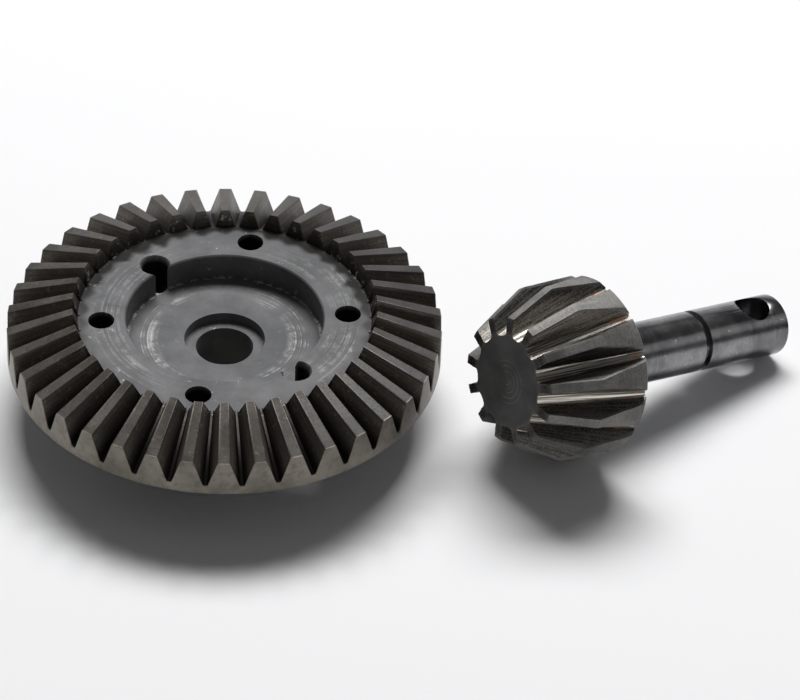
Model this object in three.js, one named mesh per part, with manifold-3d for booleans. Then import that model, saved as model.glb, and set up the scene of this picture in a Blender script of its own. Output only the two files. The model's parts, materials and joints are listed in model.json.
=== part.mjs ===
// Straight-tooth bevel gear pair, 38 and 13 teeth, for shafts that cross at 90 degrees.
// Millimetres, +Z up. The ring gear stands on its back hub with its teeth up. The pinion
// lies beside it, on the heel of its teeth and on the far end of its shaft.
import * as THREE from "three";
import Module from "manifold-3d";

const wasm = await Module();
wasm.setup();

// ---- ring gear body, heights above the underside of the back hub ----
const RING_TEETH = 38;
const RING_OUTER_R = 17.5;
const HUB_R = 5;
const HUB_HEIGHT = 4.6;
const EDGE_CHAMFER = 0.25;
const HEEL_Z = HUB_HEIGHT + 3.3;
const WEB_Z = HEEL_Z + 0.52;
const TOE_LAND_R = 12.25;
const TOE_FOOT_R = 11.8;
const RECESS_R = 7.96;
const RECESS_CHAMFER = 0.12;
const RECESS_FLOOR_Z = HEEL_Z - 1.71;
const COUNTERBORE_R = 3.26;
const COUNTERBORE_FLOOR_Z = HEEL_Z - 2.52;
const BORE_R = 2.32;

// ---- ring gear tooth gaps, sized on the outer cylinder and tapering to the apex ----
const RING_APEX_Z = HEEL_Z + 6.08;
const GAP_DEPTH = 2.33;
const GAP_MOUTH_HALF = 0.96;
const GAP_FLOOR_HALF = 0.18;
const GAP_FILLET = 0.1;
const GAP_NEAR_SCALE = 0.6;
const GAP_FAR_SCALE = 1.1;
const RING_PHASE_DEG = 91.07;

// ---- ring gear screw and dowel holes ----
const SCREW_HOLE_R = 1.06;
const SCREW_CIRCLE_R = 9.92;
const DOWEL_HOLE_R = 1.04;
const DOWEL_MOUTH_R = 1.27;
const DOWEL_MOUTH_DEPTH = 0.4;
const DOWEL_CIRCLE_R = 8.77;
const DOWEL_AXIS_DEG = 131.6;
const SCREW_SPREAD_DEG = 52.5;

// ---- pinion, distances along its axis from the front face ----
const PINION_TEETH = 13;
const FACE_DISC_R = 3.5;
const TOE_TIP_R = 5.2;
const TOE_TIP_A = 0.2;
const KINK_R = 7.1;
const KINK_A = 4;
const HEEL_R = 7.2;
const HEEL_A = 8.85;
const HEEL_CHAMFER = 0.4;
const SHAFT_R = 2.5;
const SHAFT_END_A = 28.25;
const GROOVE_A = 19.35;
const GROOVE_WIDTH = 0.65;
const GROOVE_R = 2.05;
const CROSS_HOLE_R = 1.5;
const CROSS_HOLE_A = 25.35;
const CROSS_HOLE_DEG = 3;
const PINION_PHASE_DEG = 23.3;

// ---- pinion tooth gap: the floor climbs from the front face to the heel, and each row is
// ---- one line along the flank: height above the floor and half width, at front and at heel ----
const GAP_OVERRUN = 0.6;
const FLOOR_FRONT_R = 3.69;
const FLOOR_HEEL_R = 6.55;
const FLANK_LINES = [
  [0, 0.22, 0, 0.14],
  [0.07, 0.47, 0.1, 0.24],
  [0.2, 0.6, 0.4, 0.38],
  [0.75, 0.71, 1.2, 0.88],
  [1.5, 0.92, 2.7, 1.84],
  [2.4, 1.22, 3.4, 2.32],
];

// ---- where the front face of the pinion lies, and the way its axis points ----
const PINION_X = 22.52;
const PINION_Y = -8.1;
const PINION_AZIMUTH_DEG = 35.7;

// ---- how far a cutter runs past the surface it cuts, and how round things are drawn ----
const OVERSHOOT = 1;
const RING_SEGMENTS = RING_TEETH * 4;
const SHAFT_SEGMENTS = 72;
const HOLE_SEGMENTS = 28;

const radians = (degrees) => (degrees * Math.PI) / 180;

// A closed solid from a triangle soup, with equal corners merged.
function solidFrom(corners, triangles) {
  const keys = new Map();
  const vertices = [];
  const merged = corners.map((corner) => {
    const key = corner.map((c) => Math.round(c * 1e4)).join(" ");
    if (!keys.has(key)) {
      keys.set(key, keys.size);
      vertices.push(...corner);
    }
    return keys.get(key);
  });
  const faces = triangles
    .map((face) => face.map((corner) => merged[corner]))
    .filter(([a, b, c]) => a !== b && b !== c && c !== a);
  const mesh = new wasm.Mesh({
    numProp: 3,
    vertProperties: new Float32Array(vertices),
    triVerts: new Uint32Array(faces.flat()),
  });
  return new wasm.Manifold(mesh);
}

function solidFromGeometry(geometry) {
  const position = geometry.getAttribute("position");
  const index = geometry.getIndex();
  const corners = [];
  for (let i = 0; i < position.count; i++) {
    corners.push([position.getX(i), position.getY(i), position.getZ(i)]);
  }
  const triangles = [];
  for (let i = 0; i < index.count; i += 3) {
    triangles.push([index.getX(i), index.getX(i + 1), index.getX(i + 2)]);
  }
  return solidFrom(corners, triangles);
}

// A solid of revolution about +Z. The outline runs anticlockwise in the (radius, height) plane.
function revolve(outline, segments) {
  const points = outline.map(([r, z]) => new THREE.Vector2(r, z));
  const geometry = new THREE.LatheGeometry(points, segments);
  geometry.rotateX(Math.PI / 2);
  return solidFromGeometry(geometry);
}

function cylinder(radius, from, to) {
  const geometry = new THREE.CylinderGeometry(radius, radius, to - from, HOLE_SEGMENTS);
  geometry.rotateX(Math.PI / 2);
  geometry.translate(0, 0, (from + to) / 2);
  return solidFromGeometry(geometry);
}

// The corners of a gap's section, given one flank from the floor to the mouth.
function bothFlanks(flank) {
  const mirrored = flank.map(([x, y, z]) => [x, -y, z]).reverse();
  return [...flank, ...mirrored];
}

// A closed solid between two such sections, joined by straight lines. Each section is
// anticlockwise when it is seen from outside the far one.
function loft(near, far) {
  const n = near.length;
  const triangles = [];
  for (let i = 0; i < n / 2 - 1; i++) {
    const opposite = n - 1 - i;
    triangles.push([i, opposite, opposite - 1], [i, opposite - 1, i + 1]);
    triangles.push([n + i, n + opposite - 1, n + opposite], [n + i, n + i + 1, n + opposite - 1]);
  }
  for (let i = 0; i < n; i++) {
    const next = (i + 1) % n;
    triangles.push([i, next, n + next], [i, n + next, n + i]);
  }
  return solidFrom([...near, ...far], triangles);
}

function aroundZ(solid, count, startDeg) {
  const copies = [];
  for (let i = 0; i < count; i++) {
    copies.push(solid.rotate([0, 0, startDeg + (360 / count) * i]));
  }
  return wasm.Manifold.union(copies);
}

function meshOf(name, solid, material) {
  const { numProp, vertProperties, triVerts } = solid.getMesh();
  const count = vertProperties.length / numProp;
  const position = new Float32Array(count * 3);
  for (let i = 0; i < count; i++) {
    position.set(vertProperties.subarray(i * numProp, i * numProp + 3), i * 3);
  }
  const geometry = new THREE.BufferGeometry();
  geometry.setAttribute("position", new THREE.BufferAttribute(position, 3));
  geometry.setIndex(new THREE.BufferAttribute(new Uint32Array(triVerts), 1));
  const mesh = new THREE.Mesh(geometry, material);
  mesh.name = name;
  return mesh;
}

// Height of the straight line from the apex to the tooth tip at the outer edge.
function ringTipHeight(radius) {
  return RING_APEX_Z - ((RING_APEX_Z - HEEL_Z) * radius) / RING_OUTER_R;
}

function ringBlank() {
  return revolve(
    [
      [BORE_R + EDGE_CHAMFER, 0],
      [HUB_R - EDGE_CHAMFER, 0],
      [HUB_R, EDGE_CHAMFER],
      [HUB_R, HUB_HEIGHT],
      [RING_OUTER_R - EDGE_CHAMFER, HUB_HEIGHT],
      [RING_OUTER_R, HUB_HEIGHT + EDGE_CHAMFER],
      [RING_OUTER_R, HEEL_Z],
      [TOE_LAND_R, ringTipHeight(TOE_LAND_R)],
      [TOE_FOOT_R, WEB_Z],
      [RECESS_R + RECESS_CHAMFER, WEB_Z],
      [RECESS_R, WEB_Z - RECESS_CHAMFER],
      [RECESS_R, RECESS_FLOOR_Z],
      [COUNTERBORE_R, RECESS_FLOOR_Z],
      [COUNTERBORE_R, COUNTERBORE_FLOOR_Z],
      [BORE_R, COUNTERBORE_FLOOR_Z],
      [BORE_R, EDGE_CHAMFER],
      [BORE_R + EDGE_CHAMFER, 0],
    ],
    RING_SEGMENTS,
  );
}

// A tooth gap shrinks along straight lines that all meet at the apex.
function ringGap() {
  const slope = (GAP_MOUTH_HALF - GAP_FLOOR_HALF) / GAP_DEPTH;
  const flank = [
    [GAP_FLOOR_HALF - GAP_FILLET * (1 - slope), HEEL_Z - GAP_DEPTH],
    [GAP_FLOOR_HALF + GAP_FILLET * slope, HEEL_Z - GAP_DEPTH + GAP_FILLET],
    [GAP_MOUTH_HALF + OVERSHOOT * slope, HEEL_Z + OVERSHOOT],
  ];
  const sectionAt = (scale) => {
    const corners = flank.map(([half, z]) => {
      return [RING_OUTER_R * scale, half * scale, RING_APEX_Z + (z - RING_APEX_Z) * scale];
    });
    return bothFlanks(corners);
  };
  return loft(sectionAt(GAP_NEAR_SCALE), sectionAt(GAP_FAR_SCALE));
}

function ringHoles() {
  const screw = cylinder(SCREW_HOLE_R, 0, WEB_Z + OVERSHOOT).translate([SCREW_CIRCLE_R, 0, 0]);
  const dowel = revolve(
    [
      [0, 0],
      [DOWEL_HOLE_R, 0],
      [DOWEL_HOLE_R, WEB_Z - DOWEL_MOUTH_DEPTH],
      [DOWEL_MOUTH_R, WEB_Z],
      [DOWEL_MOUTH_R, WEB_Z + OVERSHOOT],
      [0, WEB_Z + OVERSHOOT],
    ],
    HOLE_SEGMENTS,
  ).translate([DOWEL_CIRCLE_R, 0, 0]);
  const holes = [];
  for (const side of [0, 180]) {
    const axis = DOWEL_AXIS_DEG + side;
    holes.push(dowel.rotate([0, 0, axis]));
    holes.push(screw.rotate([0, 0, axis - SCREW_SPREAD_DEG]));
    holes.push(screw.rotate([0, 0, axis + SCREW_SPREAD_DEG]));
  }
  return wasm.Manifold.union(holes);
}

function ringGear() {
  return ringBlank()
    .subtract(aroundZ(ringGap(), RING_TEETH, RING_PHASE_DEG + 180 / RING_TEETH))
    .subtract(ringHoles());
}

function pinionBlank() {
  const grooveFrom = GROOVE_A - GROOVE_WIDTH / 2;
  const grooveTo = GROOVE_A + GROOVE_WIDTH / 2;
  return revolve(
    [
      [0, 0],
      [FACE_DISC_R, 0],
      [TOE_TIP_R, TOE_TIP_A],
      [KINK_R, KINK_A],
      [HEEL_R, HEEL_A - HEEL_CHAMFER],
      [HEEL_R - HEEL_CHAMFER, HEEL_A],
      [SHAFT_R, HEEL_A],
      [SHAFT_R, grooveFrom],
      [GROOVE_R, grooveFrom],
      [GROOVE_R, grooveTo],
      [SHAFT_R, grooveTo],
      [SHAFT_R, SHAFT_END_A - EDGE_CHAMFER],
      [SHAFT_R - EDGE_CHAMFER, SHAFT_END_A],
      [0, SHAFT_END_A],
    ],
    SHAFT_SEGMENTS,
  );
}

function pinionGap() {
  const sectionAt = (a) => {
    const share = a / HEEL_A;
    const floor = THREE.MathUtils.lerp(FLOOR_FRONT_R, FLOOR_HEEL_R, share);
    const corners = FLANK_LINES.map(([frontHeight, frontHalf, heelHeight, heelHalf]) => {
      const height = THREE.MathUtils.lerp(frontHeight, heelHeight, share);
      return [floor + height, THREE.MathUtils.lerp(frontHalf, heelHalf, share), a];
    });
    return bothFlanks(corners);
  };
  return loft(sectionAt(HEEL_A + GAP_OVERRUN), sectionAt(-GAP_OVERRUN));
}

function pinion() {
  const reach = SHAFT_R + OVERSHOOT;
  const crossHole = cylinder(CROSS_HOLE_R, -reach, reach)
    .rotate([0, 90, 0])
    .rotate([0, 0, CROSS_HOLE_DEG])
    .translate([0, 0, CROSS_HOLE_A]);
  return pinionBlank()
    .subtract(aroundZ(pinionGap(), PINION_TEETH, PINION_PHASE_DEG + 180 / PINION_TEETH))
    .subtract(crossHole);
}

// The pinion lies on the heel of its teeth and on its shaft, so its axis dips to the shaft end.
// Its own frame has +Z along the axis, +Y level and +X pointing down.
function layPinionDown(mesh) {
  const heelCorner = HEEL_A - HEEL_CHAMFER;
  const shaftCorner = SHAFT_END_A - EDGE_CHAMFER;
  const dip = Math.atan((HEEL_R - SHAFT_R) / (shaftCorner - heelCorner));
  const azimuth = radians(PINION_AZIMUTH_DEG);
  const axis = new THREE.Vector3(
    Math.cos(azimuth) * Math.cos(dip),
    Math.sin(azimuth) * Math.cos(dip),
    -Math.sin(dip),
  );
  const level = new THREE.Vector3(-Math.sin(azimuth), Math.cos(azimuth), 0);
  const downward = new THREE.Vector3().crossVectors(level, axis);
  mesh.quaternion.setFromRotationMatrix(new THREE.Matrix4().makeBasis(downward, level, axis));
  const frontHeight = HEEL_R * Math.cos(dip) + heelCorner * Math.sin(dip);
  mesh.position.set(PINION_X, PINION_Y, frontHeight);
}

const ringSteel = new THREE.MeshStandardMaterial({
  color: 0x6b6862,
  roughness: 0.42,
  metalness: 1,
});
const pinionSteel = new THREE.MeshStandardMaterial({
  color: 0x5a5855,
  roughness: 0.35,
  metalness: 1,
});

const ringMesh = meshOf("ring_gear", ringGear(), ringSteel);
const pinionMesh = meshOf("pinion", pinion(), pinionSteel);
layPinionDown(pinionMesh);

const gearPair = new THREE.Group();
gearPair.name = "bevel_gear_pair";
gearPair.add(ringMesh, pinionMesh);

// The origin is under the middle of the whole pair, on the surface that both gears stand on.
const extent = new THREE.Box3().setFromObject(gearPair, true);
const middle = extent.getCenter(new THREE.Vector3());
gearPair.position.set(-middle.x, -middle.y, -extent.min.z);

export default gearPair;
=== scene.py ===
"""Looks for the bevel gear pair: a 38-tooth ring gear and a 13-tooth pinion with its shaft."""

import json
import math

import bmesh
import bpy
from mathutils import Euler, Matrix, Vector


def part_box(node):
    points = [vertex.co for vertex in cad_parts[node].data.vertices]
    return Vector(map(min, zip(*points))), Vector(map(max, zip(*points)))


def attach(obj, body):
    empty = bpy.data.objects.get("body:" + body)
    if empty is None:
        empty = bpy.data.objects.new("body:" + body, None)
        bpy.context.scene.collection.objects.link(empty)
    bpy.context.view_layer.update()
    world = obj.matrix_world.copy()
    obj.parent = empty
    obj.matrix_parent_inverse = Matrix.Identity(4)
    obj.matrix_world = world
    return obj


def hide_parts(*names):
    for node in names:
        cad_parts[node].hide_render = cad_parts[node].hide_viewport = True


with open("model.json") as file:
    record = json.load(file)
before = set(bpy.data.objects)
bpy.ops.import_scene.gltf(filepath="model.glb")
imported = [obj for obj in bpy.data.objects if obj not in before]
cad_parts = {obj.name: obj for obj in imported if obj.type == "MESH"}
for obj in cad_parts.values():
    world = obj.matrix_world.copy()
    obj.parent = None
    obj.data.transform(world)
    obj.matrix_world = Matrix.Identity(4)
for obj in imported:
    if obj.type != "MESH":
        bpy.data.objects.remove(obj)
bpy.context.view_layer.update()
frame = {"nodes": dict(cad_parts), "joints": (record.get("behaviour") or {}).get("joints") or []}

MM = 0.001

# ---------- camera and stage, in metres, degrees and watts ----------
CAMERA_PLACE = Vector((-0.008943, -0.318581, 0.268415))
CAMERA_TARGET = Vector((0.0, 0.006476, 0.0))
CAMERA_ROLL_DEG = 2.1153
CAMERA_CLIP_START = 0.01
CAMERA_CLIP_END = 10.0
SENSOR_WIDTH_MM = 36.0
LENS_MM = 230.14

FLOOR_SIZE = 4.0
FLOOR_COLOUR = (0.92, 0.92, 0.93)
FLOOR_ROUGHNESS = 0.5
FLOOR_SPECULAR = 0.3
WORLD_COLOUR = (0.97, 0.98, 1.0)
WORLD_STRENGTH = 0.085

# Each light's place, target, width, length and power
LIGHTS = {
    "key": ((0.025, 0.347, 0.514), (0.0, 0.0, 0.0), 0.44, 0.2, 4.3),
    "right_panel": ((0.5, -0.03, 0.22), (0.0, 0.0, 0.01), 0.3, 0.16, 0.07),
    "front_panel": ((0.14, -0.42, 0.02), (0.01, 0.0, 0.0), 0.4, 0.03, 0.24),
    "back_panel": ((0.0, 0.9, 0.14), (0.0, 0.0, 0.01), 1.2, 0.26, 0.55),
}

# ---------- edges and flat faces ----------
EDGE_ROUND = 0.06 * MM
EDGE_SEGMENTS = 2
EDGE_ANGLE_DEG = 38.0
FLAT_FACE_WEIGHT = 80
FLAT_ANGLE_DEG = 0.6
WELD_DISTANCE = 0.002 * MM
KINK_TOLERANCE = 0.03 * MM
BUMP_DISTANCE = 0.012 * MM

# ---------- ring gear: sizes that its material follows, heights above the hub's underside ----------
# RING_PHASE_DEG is the angle of the middle of one tooth
RING_TEETH = 38
RING_PHASE_DEG = 91.07
RING_OUTER_R = 17.5 * MM
RING_BACK_Z = 4.6 * MM
RING_HEEL_Z = RING_BACK_Z + 3.3 * MM
RING_WEB_Z = RING_HEEL_Z + 0.52 * MM
RING_APEX_Z = RING_HEEL_Z + 6.08 * MM
RECESS_R = 7.96 * MM
RECESS_FLOOR_Z = RING_HEEL_Z - 1.71 * MM
TOE_FOOT_R = 11.8 * MM

# Where one look fades into the next: it starts at the first number and is whole at the second
TEETH_FADE_R = (TOE_FOOT_R - 0.25 * MM, TOE_FOOT_R + 0.15 * MM)
RIM_FADE_R = (RING_OUTER_R - 0.1 * MM, RING_OUTER_R - 0.04 * MM)
BACK_FADE_Z = (RING_BACK_Z + 0.08 * MM, RING_BACK_Z + 0.03 * MM)
FLANK_FADE_DEPTH = (0.02 * MM, 0.3 * MM)
GAP_SHADE_DEPTH = (0.5 * MM, 2.1 * MM)
TOE_SHADE_R = (12.35 * MM, 12.0 * MM)
TOE_SHADE_DEPTH = (0.1 * MM, 0.4 * MM)
SHADE_AND_GRIME_FADE_R = (12.45 * MM, 13.25 * MM)
FAR_SIDE_Y = (-6.0 * MM, 5.0 * MM)
GREYER_SIDE_X = (-2.0 * MM, 14.0 * MM)
RECESS_FOOT_Z = (RECESS_FLOOR_Z + 0.2 * MM, RECESS_FLOOR_Z + 0.08 * MM)
HOLE_SHADE_Z = (RING_WEB_Z - 0.1 * MM, RING_WEB_Z - 0.6 * MM)
HOLE_END_Z = (RING_BACK_Z, RING_BACK_Z + 0.2 * MM)
HOLE_FADE_R = (RECESS_R + 0.05 * MM, RECESS_R + 0.2 * MM)

# Bands: they start at the first number, are whole between the middle two, and end at the last
# the turning arcs in these bands are painted highlights
RECESS_ARCS_R = (4.9 * MM, 5.7 * MM, 6.6 * MM, 7.1 * MM)
WEB_ARCS_R = (8.2 * MM, 8.8 * MM, 10.7 * MM, 11.3 * MM)
RECESS_FOOT_R = (RECESS_R - 0.3 * MM, RECESS_R - 0.2 * MM, RECESS_R - 0.04 * MM, RECESS_R + 0.02 * MM)

# How far the painted shade and grime reach in from the teeth
SHADE_AND_GRIME_LOBE = 0.2 * MM
SHADE_AND_GRIME_BLOTCH = 2.6 * MM
SHADE_AND_GRIME_FAR_SIDE = 0.7 * MM

RING_SPECULAR = 0.05
RING_ROUGHNESS = (0.3, 0.42)
RING_BUMP = 0.5
RING_EDGE_WORN = 0.75
WEB_METAL = 0.03
TOOTH_METAL = 0.4
RIM_METAL = 0.8

# ---------- pinion: sizes that its material follows, distances along its axis from the front ----------
PINION_HEEL_A = 8.85 * MM
PINION_KINK_A = 4.0 * MM
PINION_KINK_R = 7.1 * MM
PINION_TOE_R = 5.1 * MM
PINION_TOE_SLOPE = (PINION_KINK_R - PINION_TOE_R) / PINION_KINK_A
PINION_LAND_R = 7.15 * MM
PINION_FLOOR_FRONT_R = 3.69 * MM
PINION_FLOOR_HEEL_R = 6.55 * MM
PINION_FLOOR_SLOPE = (PINION_FLOOR_HEEL_R - PINION_FLOOR_FRONT_R) / PINION_HEEL_A
PINION_APEX_BEFORE = PINION_FLOOR_FRONT_R / PINION_FLOOR_SLOPE

FRONT_FADE_A = (0.02 * MM, 0.12 * MM)
SHAFT_FADE_A = (PINION_HEEL_A - 0.03 * MM, PINION_HEEL_A - 0.005 * MM)
SMOOTH_SHAFT_A = (PINION_HEEL_A - 0.1 * MM, PINION_HEEL_A)
FLANK_FADE_BELOW = (0.16 * MM, 0.28 * MM)
ROOT_HIGHLIGHT_FADE_ABOVE = (0.3 * MM, 0.05 * MM)
SPUN_FADE_R = (2.2 * MM, 1.5 * MM)
RUST_FADE_A = (PINION_HEEL_A - 2.4 * MM, PINION_HEEL_A - 0.5 * MM)
RUST_END_A = (PINION_HEEL_A, PINION_HEEL_A - 0.05 * MM)
RUST_FADE_BELOW = (0.5 * MM, 1.2 * MM)

PINION_FRONT_ROUGHNESS = 0.62
PINION_TEETH_ROUGHNESS = 0.36
PINION_LAND_ADDED_ROUGHNESS = 0.26
SHAFT_ROUGHNESS_SHARE = 0.58
SHAFT_BUMP_SHARE = 0.3
PINION_BUMP = 0.6
PINION_EDGE_WORN = 0.7
PINION_FRONT_METAL = 0.4
PINION_TEETH_METAL = 1.0

# ---------- colours: a pair is the dark and the light end of one material's shades ----------
WEB_SHADES = ((0.122, 0.123, 0.126), (0.185, 0.186, 0.19))
WEB_SCRATCH = (0.32, 0.32, 0.32)
# painted highlight on the turning arcs
WEB_ARC_HIGHLIGHT = (0.5, 0.5, 0.5)
# painted shade by the tooth feet, with some oil
WEB_SHADE_AND_GRIME = (0.018, 0.017, 0.016)
WEB_CHIP = (0.6, 0.6, 0.6)
# painted shade inside the holes
HOLE_PAINTED_SHADE = (0.012, 0.012, 0.012)

RING_LAND_SHADES = ((0.08, 0.073, 0.064), (0.13, 0.121, 0.108))
RING_LAND_SPECK = (0.24, 0.225, 0.2)
RING_LAND_GREYER = (0.088, 0.087, 0.087)
RING_LAND_PIT = (0.04, 0.037, 0.033)
RING_FLANK_SHADES = ((0.09, 0.08, 0.068), (0.16, 0.144, 0.124))
RING_FLANK_SPECK = (0.34, 0.31, 0.27)
RING_FLANK_GRAIN = (0.22, 0.205, 0.18)
# painted shade deep in the gaps between the teeth
RING_GAP_PAINTED_SHADE = (0.012, 0.01, 0.009)
# painted shade on the toe faces of the teeth
RING_TOE_PAINTED_SHADE = (0.02, 0.018, 0.016)
RING_TOE_CHIP = (0.4, 0.38, 0.34)
RIM_SHADES = ((0.145, 0.131, 0.11), (0.27, 0.248, 0.214))
RIM_SPECK = (0.06, 0.05, 0.04)
BACK_SHADES = ((0.13, 0.127, 0.122), (0.2, 0.196, 0.19))
BACK_RING = (0.36, 0.355, 0.345)
RING_BARE = (0.36, 0.345, 0.32)

PINION_FLANK_SHADES = ((0.055, 0.05, 0.045), (0.17, 0.161, 0.148))
PINION_FLANK_GRAIN = (0.3, 0.287, 0.265)
PINION_LAND_SHADES = ((0.14, 0.137, 0.13), (0.26, 0.254, 0.242))
PINION_LAND_TURNED = (0.3, 0.293, 0.28)
PINION_LAND_PIT = (0.08, 0.077, 0.072)
# painted highlight on the rounded roots between the teeth
PINION_ROOT_HIGHLIGHT_SHADES = ((0.12, 0.11, 0.095), (0.75, 0.71, 0.63))
PINION_FRONT_SHADES = ((0.1, 0.097, 0.095), (0.17, 0.166, 0.163))
PINION_FRONT_RING = (0.36, 0.32, 0.29)
SHAFT_SHADES = ((0.15, 0.151, 0.158), (0.29, 0.29, 0.297))
SHAFT_TURNED = (0.5, 0.5, 0.5)
SHAFT_SPECK = (0.75, 0.74, 0.7)
RUST = (0.75, 0.2, 0.05)
PINION_BARE = (0.5, 0.49, 0.46)


# ---------- places ----------
def ring_axis_place():
    """The point under the ring gear's axis, from the middle of its box."""
    low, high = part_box("ring_gear")
    return Vector(((low.x + high.x) / 2, (low.y + high.y) / 2, 0.0))


def pinion_basis():
    """The pinion's front-face centre and its frame: +Z along the axis, +Y level, +X downward."""
    joint = next(j for j in frame["joints"] if j["name"] == "pinion_spin")
    place = Vector(joint["pos_m"])
    axis = Vector(joint["axis"]).normalized()
    level = Vector((-axis.y, axis.x, 0.0)).normalized()
    downward = level.cross(axis)
    basis = Matrix((downward, level, axis)).transposed()
    return place, basis


# ---------- geometry ----------
def clean_copy(node, name):
    """A copy of a CAD node's mesh as a new piece, with its flat faces whole again."""
    mesh = frame["nodes"][node].data.copy()
    mesh.name = name
    mesh.materials.clear()
    work = bmesh.new()
    work.from_mesh(mesh)
    bmesh.ops.remove_doubles(work, verts=work.verts, dist=WELD_DISTANCE)
    bmesh.ops.dissolve_limit(
        work,
        angle_limit=math.radians(FLAT_ANGLE_DEG),
        verts=work.verts,
        edges=work.edges,
    )
    work.to_mesh(mesh)
    work.free()
    piece = bpy.data.objects.new(name, mesh)
    bpy.context.scene.collection.objects.link(piece)
    return piece


def mark_kink(piece):
    """Keeps the edge across each pinion tooth sharp, where its toe land meets its heel land."""
    place, basis = pinion_basis()
    to_local = basis.transposed()
    for edge in piece.data.edges:
        ends = [to_local @ (piece.data.vertices[i].co - place) for i in edge.vertices]
        if all(abs(end.z - PINION_KINK_A) < KINK_TOLERANCE for end in ends):
            edge.use_edge_sharp = True


def round_edges(piece):
    """Rounds the edges, gives the roundings the second material, and shades curved faces smooth."""
    rounding = piece.modifiers.new("edge_rounding", "BEVEL")
    rounding.width = EDGE_ROUND
    rounding.segments = EDGE_SEGMENTS
    rounding.limit_method = "ANGLE"
    rounding.angle_limit = math.radians(EDGE_ANGLE_DEG)
    rounding.use_clamp_overlap = True
    rounding.material = 1
    piece.data.shade_smooth()
    shading = piece.modifiers.new("flat_faces_stay_flat", "WEIGHTED_NORMAL")
    shading.mode = "FACE_AREA"
    shading.weight = FLAT_FACE_WEIGHT
    shading.keep_sharp = True
    apply_modifiers(piece)


def apply_modifiers(piece):
    """Bakes the piece's modifiers into its mesh."""
    graph = bpy.context.evaluated_depsgraph_get()
    shown = piece.evaluated_get(graph)
    mesh = bpy.data.meshes.new_from_object(shown, depsgraph=graph)
    piece.modifiers.clear()
    piece.data = mesh


# ---------- material helpers ----------
class Nodes:
    """A short way to add shader nodes to one material."""

    def __init__(self, name):
        self.material = bpy.data.materials.new(name)
        self.material.use_nodes = True
        self.tree = self.material.node_tree
        self.shader = self.tree.nodes["Principled BSDF"]

    def add(self, kind, **settings):
        node = self.tree.nodes.new(kind)
        for key, value in settings.items():
            setattr(node, key, value)
        return node

    def feed(self, socket, value):
        """Connects an output to the socket, or sets a constant on it."""
        if isinstance(value, bpy.types.NodeSocket):
            self.tree.links.new(value, socket)
        else:
            socket.default_value = value

    def maths(self, operation, a, b=0.0, clamp=False):
        node = self.add("ShaderNodeMath", operation=operation, use_clamp=clamp)
        self.feed(node.inputs[0], a)
        self.feed(node.inputs[1], b)
        return node.outputs[0]

    def times(self, first, *others):
        product = first
        for other in others:
            product = self.maths("MULTIPLY", product, other)
        return product

    def plus(self, first, *others):
        total = first
        for other in others:
            total = self.maths("ADD", total, other)
        return total

    def between(self, value, low, high, out_low=0.0, out_high=1.0):
        """Maps low..high to out_low..out_high with soft ends; low may be the larger of the two."""
        node = self.add("ShaderNodeMapRange", interpolation_type="SMOOTHSTEP")
        for socket, number in zip(node.inputs, (value, low, high, out_low, out_high)):
            self.feed(socket, number)
        return node.outputs[0]

    def band(self, value, edges):
        """1 between the two middle edges, fading to 0 at the outer two."""
        start, whole_from, whole_to, end = edges
        return self.times(self.between(value, start, whole_from), self.between(value, end, whole_to))

    def local(self, place, basis):
        """Object coordinates in a frame at the place, turned by the basis."""
        coordinates = self.add("ShaderNodeTexCoord")
        node = self.add("ShaderNodeMapping", vector_type="TEXTURE")
        self.feed(node.inputs["Vector"], coordinates.outputs["Object"])
        node.inputs["Location"].default_value = place
        node.inputs["Rotation"].default_value = basis.to_euler("XYZ")
        return node.outputs[0]

    def stretched(self, vector, scale, turn_deg=0.0):
        """The vector turned about +Z and then scaled, for a pattern that is longer one way."""
        node = self.add("ShaderNodeMapping", vector_type="POINT")
        self.feed(node.inputs["Vector"], vector)
        node.inputs["Rotation"].default_value = Euler((0.0, 0.0, math.radians(turn_deg)))
        node.inputs["Scale"].default_value = scale
        return node.outputs[0]

    def split(self, vector):
        node = self.add("ShaderNodeSeparateXYZ")
        self.feed(node.inputs[0], vector)
        return node.outputs[0], node.outputs[1], node.outputs[2]

    def join(self, x, y, z):
        node = self.add("ShaderNodeCombineXYZ")
        for socket, value in zip(node.inputs, (x, y, z)):
            self.feed(socket, value)
        return node.outputs[0]

    def radius(self, x, y):
        return self.maths("SQRT", self.plus(self.times(x, x), self.times(y, y)))

    def noise(self, vector, scale, detail, roughness):
        """Smooth noise from 0 to 1, with scale in waves per unit of the vector."""
        node = self.add("ShaderNodeTexNoise")
        self.feed(node.inputs["Vector"], vector)
        node.inputs["Scale"].default_value = scale
        node.inputs["Detail"].default_value = detail
        node.inputs["Roughness"].default_value = roughness
        return node.outputs["Fac"]

    def mix(self, share, a, b):
        """Colour a where the share is 0, and colour b where it is 1."""
        node = self.add("ShaderNodeMix", data_type="RGBA", blend_type="MIX")
        self.feed(node.inputs["Factor"], share)
        for socket, colour in ((node.inputs[6], a), (node.inputs[7], b)):
            self.feed(socket, (*colour, 1.0) if isinstance(colour, tuple) else colour)
        return node.outputs[2]

    def shades(self, pattern, low, high, pair):
        """The dark shade where the pattern is under low, and the light one where it is over high."""
        return self.mix(self.between(pattern, low, high), *pair)

    def cover(self, base, colour, mask, strength=1.0):
        """The base, with the colour laid over it where the mask says."""
        share = mask if strength == 1.0 else self.times(mask, strength)
        return self.mix(share, base, colour)

    def bump(self, height, strength):
        node = self.add("ShaderNodeBump")
        self.feed(node.inputs["Height"], height)
        node.inputs["Distance"].default_value = BUMP_DISTANCE
        node.inputs["Strength"].default_value = strength
        self.tree.links.new(node.outputs[0], self.shader.inputs["Normal"])

    def specular(self, level):
        self.shader.inputs["Specular IOR Level"].default_value = level

    def finish(self, colour, roughness, metallic):
        self.feed(self.shader.inputs["Base Color"], colour)
        self.feed(self.shader.inputs["Roughness"], roughness)
        self.feed(self.shader.inputs["Metallic"], metallic)
        return self.material


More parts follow.
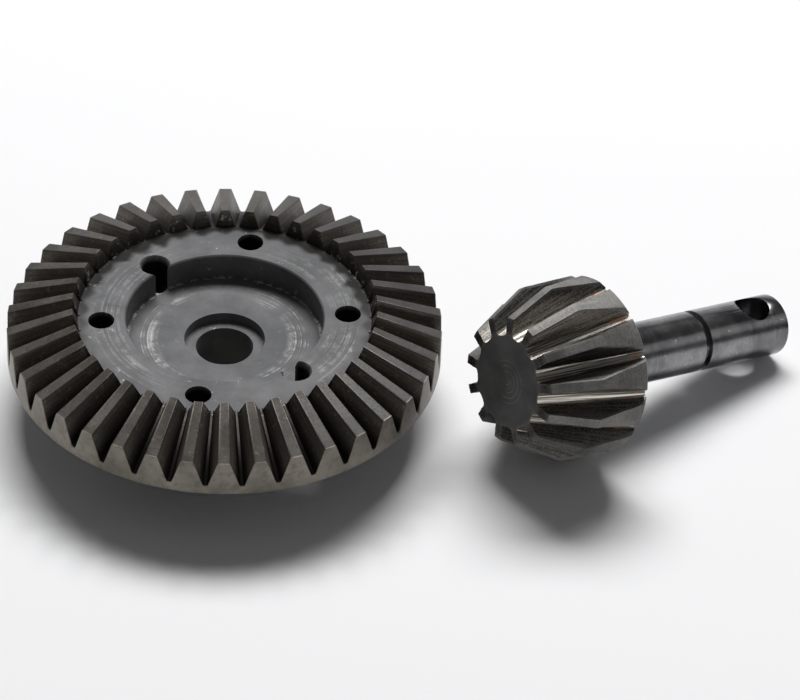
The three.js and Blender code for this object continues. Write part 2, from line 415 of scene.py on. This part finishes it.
# ---------- ring gear material ----------
class RingPlaces:
    """Places on the ring gear, and the noises that its colours share."""

    def __init__(self, n):
        self.here = n.local(ring_axis_place(), Matrix.Identity(3))
        self.x, self.y, self.z = n.split(self.here)
        self.r = n.radius(self.x, self.y)
        cone_z = n.plus(n.times(self.r, -(RING_APEX_Z - RING_HEEL_Z) / RING_OUTER_R), RING_APEX_Z)
        self.below_land = n.maths("SUBTRACT", cone_z, self.z)

        self.patch = n.noise(self.here, 190.0, 3.0, 0.55)
        self.blotch = n.noise(self.here, 260.0, 4.0, 0.6)
        self.speck = n.noise(self.here, 1500.0, 4.0, 0.75)
        self.grain = n.noise(self.here, 2600.0, 3.0, 0.65)
        self.fine = n.noise(self.here, 5200.0, 3.0, 0.7)
        across_arcs = n.join(n.times(self.r, 7000.0), n.times(self.x, 90.0), 0.0)
        self.arcs = n.noise(across_arcs, 1.0, 3.0, 0.7)
        self.scratches = self.crossed_scratches(n)

    def crossed_scratches(self, n):
        """Two sets of fine straight scratches."""
        first = n.noise(n.stretched(self.here, (3200.0, 110.0, 600.0), 34.0), 1.0, 2.0, 0.6)
        second = n.noise(n.stretched(self.here, (150.0, 4200.0, 600.0), 12.0), 1.0, 2.0, 0.6)
        return n.maths("MAXIMUM", n.between(first, 0.66, 0.8), n.between(second, 0.68, 0.82))


def turning_arc_highlights(n, at):
    """Turning marks painted as broken bright arcs of highlight, strongest at the -X and +X sides of
    recess and web, where they catch the light.
    """
    lines = n.between(at.arcs, 0.44, 0.6)
    in_patches = n.between(at.patch, 0.36, 0.52)
    broken = n.between(at.speck, 0.4, 0.58, 0.15, 1.0)
    # painted highlight: the arcs are brightest at the -X and +X sides, where they catch the light
    sideways = n.between(n.maths("DIVIDE", n.maths("ABSOLUTE", at.x), at.r), 0.3, 0.85, 0.15, 1.0)
    in_bands = n.plus(n.times(n.band(at.r, RECESS_ARCS_R), 1.25), n.times(n.band(at.r, WEB_ARCS_R), 0.5))
    return n.times(lines, in_patches, broken, sideways, in_bands)


def foot_shade_and_grime(n, at):
    """Dark patches on the web by the tooth feet: painted shade cast by the teeth, with some oil, one
    lobe to a tooth, most on the +Y side where the shade falls.
    """
    turn = n.times(n.maths("ARCTAN2", at.y, at.x), RING_TEETH)
    lobe = n.maths("COSINE", n.maths("SUBTRACT", turn, RING_TEETH * math.radians(RING_PHASE_DEG)))
    # more painted shade on the +Y side, where the teeth's shadows fall
    far_side = n.between(at.y, *FAR_SIDE_Y)
    reach = n.plus(
        n.times(lobe, SHADE_AND_GRIME_LOBE),
        n.times(at.blotch, SHADE_AND_GRIME_BLOTCH),
        n.times(far_side, SHADE_AND_GRIME_FAR_SIDE),
    )
    shade_and_grime = n.between(n.plus(at.r, reach), *SHADE_AND_GRIME_FADE_R)
    return n.times(shade_and_grime, n.plus(n.times(far_side, 0.7), 0.3))


def ring_web_colour(n, at):
    """Satin grey, with scratches, turning arcs painted as highlights, grime and painted shade by the
    teeth, bright chips, and painted shade in the holes.
    """
    recess_foot = n.times(n.band(at.r, RECESS_FOOT_R), n.between(at.z, *RECESS_FOOT_Z))
    nicks = n.times(recess_foot, n.between(at.speck, 0.46, 0.56))
    chips = n.times(n.between(at.speck, 0.62, 0.7), n.between(at.patch, 0.48, 0.62))
    # painted shade: the walls of the holes below the web are coloured near black
    hole_shade = n.times(
        n.between(at.z, *HOLE_SHADE_Z),
        n.between(at.z, *HOLE_END_Z),
        n.between(at.r, *HOLE_FADE_R),
    )
    web = n.shades(at.blotch, 0.3, 0.7, WEB_SHADES)
    web = n.cover(web, WEB_SCRATCH, at.scratches, 0.3)
    web = n.cover(web, WEB_ARC_HIGHLIGHT, turning_arc_highlights(n, at), 0.85)
    web = n.cover(web, WEB_SHADE_AND_GRIME, foot_shade_and_grime(n, at))
    web = n.cover(web, WEB_CHIP, nicks, 0.7)
    web = n.cover(web, WEB_CHIP, chips, 0.8)
    return n.cover(web, HOLE_PAINTED_SHADE, hole_shade)


def ring_land_colour(n, at):
    """Brown-black tooth tips, greyer on the +X side, with fine specks and pits."""
    land = n.shades(at.blotch, 0.35, 0.7, RING_LAND_SHADES)
    land = n.cover(land, RING_LAND_SPECK, n.between(at.speck, 0.56, 0.7), 0.5)
    land = n.cover(land, RING_LAND_GREYER, n.between(at.x, *GREYER_SIDE_X), 0.6)
    return n.cover(land, RING_LAND_PIT, n.between(at.fine, 0.5, 0.62), 0.45)


def ring_flank_colour(n, at):
    """Brown tooth sides, with fine lines along each tooth and paler specks."""
    across_lines = n.join(n.times(at.below_land, 6500.0), n.times(at.x, 140.0), n.times(at.y, 140.0))
    lines = n.noise(across_lines, 1.0, 3.0, 0.6)
    flank = n.shades(lines, 0.34, 0.7, RING_FLANK_SHADES)
    flank = n.cover(flank, RING_FLANK_SPECK, n.between(at.speck, 0.58, 0.68), 0.6)
    return n.cover(flank, RING_FLANK_GRAIN, n.between(at.fine, 0.5, 0.62), 0.35)


def ring_tooth_colour(n, at):
    """Lands and flanks, with painted shade darkening towards the bottom of each gap, and painted shade
    on the chipped toes.
    """
    on_flank = n.between(at.below_land, *FLANK_FADE_DEPTH)
    # painted shade on the toe faces of the teeth, which also carry chips
    toe_shade = n.times(n.between(at.r, *TOE_SHADE_R), n.between(at.below_land, *TOE_SHADE_DEPTH))
    toe_chips = n.times(toe_shade, n.between(at.speck, 0.56, 0.64))
    tooth = n.mix(on_flank, ring_land_colour(n, at), ring_flank_colour(n, at))
    # painted shade: darker towards the bottom of each gap between the teeth
    tooth = n.cover(tooth, RING_GAP_PAINTED_SHADE, n.between(at.below_land, *GAP_SHADE_DEPTH))
    tooth = n.cover(tooth, RING_TOE_PAINTED_SHADE, toe_shade, 0.7)
    return n.cover(tooth, RING_TOE_CHIP, toe_chips, 0.7)


def ring_rim_colour(n, at):
    """The paler outer rim, with dark specks."""
    rim = n.shades(at.blotch, 0.3, 0.7, RIM_SHADES)
    return n.cover(rim, RIM_SPECK, n.between(at.speck, 0.5, 0.66), 0.35)


def ring_back_colour(n, at):
    """The plain turned back and hub."""
    back = n.shades(at.blotch, 0.3, 0.7, BACK_SHADES)
    return n.cover(back, BACK_RING, n.between(at.arcs, 0.5, 0.7), 0.4)


def ring_steel(name, worn):
    """The ring gear's steel; worn is how far it is rubbed down to bare metal."""
    n = Nodes(name)
    at = RingPlaces(n)
    on_teeth = n.between(at.r, *TEETH_FADE_R)
    on_rim = n.between(at.r, *RIM_FADE_R)
    on_back = n.times(n.between(at.z, *BACK_FADE_Z), n.between(at.r, *reversed(RIM_FADE_R)))
    bare = n.times(n.between(at.blotch, 0.4, 0.66), n.between(at.speck, 0.4, 0.6, 0.3, 1.15))

    tooth = n.mix(on_rim, ring_tooth_colour(n, at), ring_rim_colour(n, at))
    colour = n.mix(on_teeth, ring_web_colour(n, at), tooth)
    colour = n.mix(on_back, colour, ring_back_colour(n, at))
    colour = n.cover(colour, RING_BARE, bare, worn)

    roughness = n.between(at.blotch, 0.2, 0.8, *RING_ROUGHNESS)
    metal = n.between(at.r, *TEETH_FADE_R, WEB_METAL, TOOTH_METAL)
    metal = n.plus(metal, n.times(on_rim, RIM_METAL - TOOTH_METAL))
    height = n.plus(n.times(at.arcs, 0.35), n.times(at.grain, 0.55), n.times(at.scratches, -0.5))
    n.bump(height, RING_BUMP)
    n.specular(RING_SPECULAR)
    return n.finish(colour, roughness, metal)


# ---------- pinion material ----------
class PinionPlaces:
    """Places on the pinion, and the noises that its colours share; a runs along the axis."""

    def __init__(self, n):
        self.here = n.local(*pinion_basis())
        self.x, self.y, self.a = n.split(self.here)
        self.r = n.radius(self.x, self.y)
        floor_r = n.plus(n.times(self.a, PINION_FLOOR_SLOPE), PINION_FLOOR_FRONT_R)
        self.above_floor = n.maths("SUBTRACT", self.r, floor_r)
        toe_land_r = n.plus(n.times(self.a, PINION_TOE_SLOPE), PINION_TOE_R)
        land_r = n.maths("MINIMUM", toe_land_r, PINION_LAND_R)
        self.below_land = n.maths("SUBTRACT", land_r, self.r)

        self.blotch = n.noise(self.here, 300.0, 4.0, 0.6)
        self.grain = n.noise(self.here, 2400.0, 3.0, 0.65)
        self.turned = n.noise(n.stretched(self.here, (260.0, 260.0, 5200.0)), 1.0, 3.0, 0.65)
        self.streak = self.streaks(n)

    def streaks(self, n):
        """Streaks that run along the teeth and close up towards the cone's apex."""
        from_apex = n.plus(self.a, PINION_APEX_BEFORE)
        across_x = n.maths("DIVIDE", self.x, from_apex)
        across_y = n.maths("DIVIDE", self.y, from_apex)
        return n.noise(n.join(across_x, across_y, n.times(self.a, 1.1)), 95.0, 3.0, 0.6)


def pinion_land_colour(n, at):
    """Turned grey tooth tips with fine dark pits."""
    pits = n.between(n.noise(at.here, 5200.0, 3.0, 0.7), 0.48, 0.6)
    land = n.shades(at.blotch, 0.35, 0.66, PINION_LAND_SHADES)
    land = n.cover(land, PINION_LAND_TURNED, n.between(at.turned, 0.5, 0.7), 0.35)
    return n.cover(land, PINION_LAND_PIT, pits, 0.38)


def pinion_flank_colour(n, at):
    """Dark streaked tooth sides with a fine pale grain."""
    pale_grain = n.between(n.noise(at.here, 6500.0, 3.0, 0.7), 0.5, 0.62)
    flank = n.shades(at.streak, 0.36, 0.66, PINION_FLANK_SHADES)
    return n.cover(flank, PINION_FLANK_GRAIN, pale_grain, 0.5)


def pinion_rust(n, at):
    """Small rust spots low between the teeth, near the heel."""
    spots = n.between(n.noise(at.here, 760.0, 3.0, 0.6), 0.54, 0.6)
    near_heel = n.times(n.between(at.a, *RUST_FADE_A), n.between(at.a, *RUST_END_A))
    return n.times(spots, near_heel, n.between(at.below_land, *RUST_FADE_BELOW))


def pinion_tooth_colour(n, at):
    """Lands, flanks, and the roots between the teeth, painted bright as a streaked highlight."""
    on_flank = n.between(at.below_land, *FLANK_FADE_BELOW)
    tooth = n.mix(on_flank, pinion_land_colour(n, at), pinion_flank_colour(n, at))
    # painted highlight: the rounded roots are coloured pale cream
    root_highlight = n.shades(at.streak, 0.4, 0.6, PINION_ROOT_HIGHLIGHT_SHADES)
    return n.mix(n.between(at.above_floor, *ROOT_HIGHLIGHT_FADE_ABOVE), tooth, root_highlight)


def pinion_front_colour(n, at):
    """The black front face, with faint turning rings round its middle."""
    rings = n.noise(n.join(n.times(at.r, 6500.0), 0.0, 0.0), 1.0, 2.0, 0.6)
    near_middle = n.times(n.between(at.r, *SPUN_FADE_R), n.between(at.blotch, 0.4, 0.6))
    front = n.shades(at.blotch, 0.3, 0.7, PINION_FRONT_SHADES)
    return n.cover(front, PINION_FRONT_RING, n.times(n.between(rings, 0.52, 0.66), near_middle))


def shaft_colour(n, at):
    """The polished dark shaft, with turning marks and a few pale specks."""
    specks = n.between(n.noise(at.here, 4200.0, 2.0, 0.7), 0.66, 0.7)
    shaft = n.shades(at.blotch, 0.35, 0.65, SHAFT_SHADES)
    shaft = n.cover(shaft, SHAFT_TURNED, n.between(at.turned, 0.55, 0.75), 0.35)
    return n.cover(shaft, SHAFT_SPECK, n.times(specks, n.between(at.blotch, 0.46, 0.6)))


def pinion_steel(name, worn):
    """The pinion's steel; worn is how far it is rubbed down to bare metal."""
    n = Nodes(name)
    at = PinionPlaces(n)
    behind_front = n.between(at.a, *FRONT_FADE_A)
    on_shaft = n.between(at.a, *SHAFT_FADE_A)
    rust = pinion_rust(n, at)

    tooth = n.cover(pinion_tooth_colour(n, at), RUST, rust)
    colour = n.mix(behind_front, pinion_front_colour(n, at), tooth)
    colour = n.mix(on_shaft, colour, shaft_colour(n, at))
    colour = n.cover(colour, PINION_BARE, n.between(at.blotch, 0.38, 0.62), worn)

    front_or_teeth = n.between(at.a, *FRONT_FADE_A, PINION_FRONT_ROUGHNESS, PINION_TEETH_ROUGHNESS)
    on_land = n.between(at.below_land, *reversed(FLANK_FADE_BELOW))
    uneven = n.between(at.blotch, 0.2, 0.8, 0.85, 1.2)
    glossier_shaft = n.between(at.a, *SHAFT_FADE_A, 1.0, SHAFT_ROUGHNESS_SHARE)
    roughness = n.plus(front_or_teeth, n.times(on_land, PINION_LAND_ADDED_ROUGHNESS))
    roughness = n.times(roughness, uneven, glossier_shaft)

    metal = n.between(at.a, *FRONT_FADE_A, PINION_FRONT_METAL, PINION_TEETH_METAL)
    metal = n.maths("SUBTRACT", metal, rust, clamp=True)
    height = n.plus(n.times(at.streak, 0.6), n.times(at.turned, 0.4), n.times(at.grain, 0.4))
    smoother_shaft = n.between(at.a, *SMOOTH_SHAFT_A, 1.0, SHAFT_BUMP_SHARE)
    n.bump(n.times(height, smoother_shaft), PINION_BUMP)
    return n.finish(colour, roughness, metal)


# ---------- stage ----------
def plain_floor():
    n = Nodes("floor_pale")
    n.specular(FLOOR_SPECULAR)
    return n.finish((*FLOOR_COLOUR, 1.0), FLOOR_ROUGHNESS, 0.0)


def add_floor():
    bpy.ops.mesh.primitive_plane_add(size=FLOOR_SIZE, location=(0.0, 0.0, 0.0))
    floor = bpy.context.object
    floor.name = "floor"
    floor.data.materials.append(plain_floor())


def add_light(name, place, target, width, length, power):
    data = bpy.data.lights.new(name, "AREA")
    data.shape = "RECTANGLE"
    data.size = width
    data.size_y = length
    data.energy = power
    light = bpy.data.objects.new(name, data)
    light.location = place
    light.rotation_euler = (Vector(target) - Vector(place)).to_track_quat("-Z", "Y").to_euler()
    bpy.context.scene.collection.objects.link(light)


def add_world():
    world = bpy.data.worlds.new("studio")
    world.use_nodes = True
    background = world.node_tree.nodes["Background"]
    background.inputs["Color"].default_value = (*WORLD_COLOUR, 1.0)
    background.inputs["Strength"].default_value = WORLD_STRENGTH
    bpy.context.scene.world = world


def add_camera():
    data = bpy.data.cameras.new("camera")
    data.sensor_width = SENSOR_WIDTH_MM
    data.lens = LENS_MM
    data.clip_start = CAMERA_CLIP_START
    data.clip_end = CAMERA_CLIP_END
    data.dof.use_dof = False
    camera = bpy.data.objects.new("camera", data)
    aim = (CAMERA_TARGET - CAMERA_PLACE).to_track_quat("-Z", "Y").to_matrix()
    roll = Matrix.Rotation(math.radians(CAMERA_ROLL_DEG), 3, "Z")
    camera.matrix_world = Matrix.Translation(CAMERA_PLACE) @ (aim @ roll).to_4x4()
    bpy.context.scene.collection.objects.link(camera)
    bpy.context.scene.camera = camera


# ---------- build ----------
ring = clean_copy("ring_gear", "ring_gear_body")
ring.data.materials.append(ring_steel("ring_steel", 0.0))
ring.data.materials.append(ring_steel("ring_steel_edge", RING_EDGE_WORN))
round_edges(ring)
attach(ring, "ring_gear")
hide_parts("ring_gear")

pinion = clean_copy("pinion", "pinion_body")
mark_kink(pinion)
pinion.data.materials.append(pinion_steel("pinion_steel", 0.0))
pinion.data.materials.append(pinion_steel("pinion_steel_edge", PINION_EDGE_WORN))
round_edges(pinion)
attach(pinion, "pinion")
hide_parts("pinion")

add_floor()
add_world()
for light_name, light_settings in LIGHTS.items():
    add_light(light_name, *light_settings)
add_camera()
bpy.context.scene.view_settings.view_transform = "Standard"
